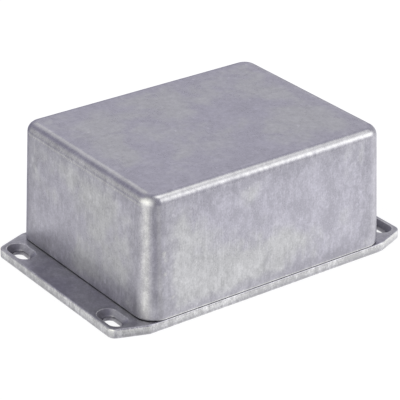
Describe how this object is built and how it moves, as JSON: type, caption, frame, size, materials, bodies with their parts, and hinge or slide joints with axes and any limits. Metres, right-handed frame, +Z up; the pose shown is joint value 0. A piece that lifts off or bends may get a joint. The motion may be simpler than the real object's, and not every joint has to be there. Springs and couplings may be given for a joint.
{
  "type": "die cast aluminium box",
  "caption": "Deep die cast aluminium box with drafted walls and rounded edges, closed by a screwed lid whose short ends form slotted mounting flanges.",
  "frame": {"origin": "middle of the lid's underside, the face that lies on the mounting surface", "axes": "+X across the short side, +Y along the long side and through both flanges, +Z up from the lid to the closed top of the body"},
  "size_m": [0.0948, 0.146, 0.0565],
  "materials": {
    "body_casting": "raw tumbled die casting, soft grey mottling, light flow streaks, satin",
    "lid_casting": "raw tumbled die casting, soft grey mottling, satin",
    "screw_steel": "bright zinc plate"
  },
  "bodies": {
    "root": {"body": "body_casting", "lid": "lid_casting", "lid_screws": "screw_steel"}
  },
  "joints": []
}
